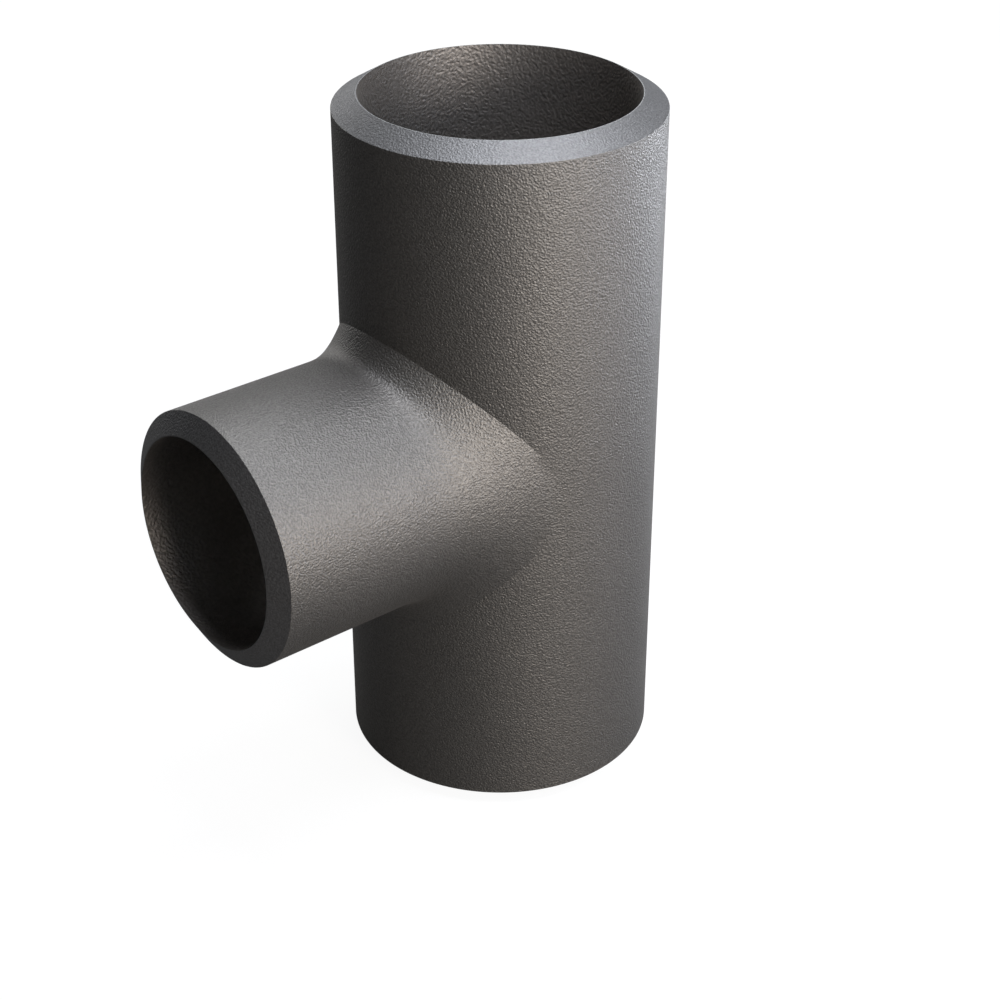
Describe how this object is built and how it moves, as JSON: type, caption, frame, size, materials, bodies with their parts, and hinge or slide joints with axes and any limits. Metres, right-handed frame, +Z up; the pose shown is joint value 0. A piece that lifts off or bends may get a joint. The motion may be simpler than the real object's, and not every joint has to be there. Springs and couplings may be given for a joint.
{
  "type": "reducing butt weld tee",
  "caption": "Pipe tee with a smaller side outlet flared out of the run and bevelled ends for butt welding.",
  "frame": {"origin": "the point where the axis of the run and the axis of the branch cross", "axes": "+Z up along the run, +X along the branch, away from the run"},
  "size_m": [0.0549, 0.0338, 0.076],
  "materials": {
    "steel": "dark grey carbon steel with a satin sheen and a fine orange-peel grain, unpainted"
  },
  "bodies": {
    "root": {"tee_body": "steel"}
  },
  "joints": []
}
